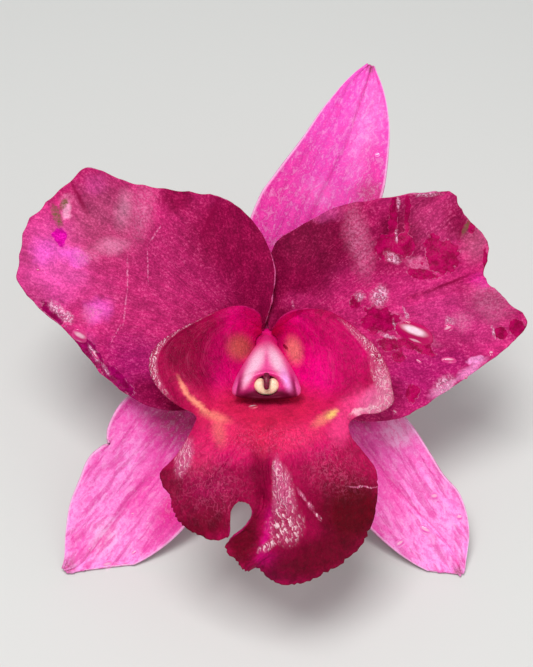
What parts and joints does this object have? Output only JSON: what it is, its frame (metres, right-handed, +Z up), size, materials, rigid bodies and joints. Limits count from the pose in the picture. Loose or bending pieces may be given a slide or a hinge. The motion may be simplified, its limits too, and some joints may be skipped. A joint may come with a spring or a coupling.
{
  "type": "cattleya orchid bloom",
  "caption": "Picked cattleya orchid bloom with crimson petals, a frilled lip and pink sepals, leaning back on its lower sepals and stalk.",
  "frame": {"origin": "middle of the bounding box, on the surface that the bloom rests on", "axes": "+Z up from that surface, +X to the bloom's right as it is looked into, -Y the way that the leaning face looks"},
  "size_m": [0.114, 0.1071, 0.0762],
  "materials": {
    "petal": "satin",
    "sepal": "satin",
    "lip": "satin",
    "column": "satin",
    "anther_cap": "satin",
    "stalk": "satin"
  },
  "bodies": {
    "root": {"ovary_stalk": "stalk", "dorsal_sepal": "sepal", "lateral_sepal_left": "sepal", "lateral_sepal_right": "sepal", "petal_left": "petal", "petal_right": "petal", "lip": "lip", "column": "column", "anther_cap": "anther_cap"}
  },
  "joints": []
}
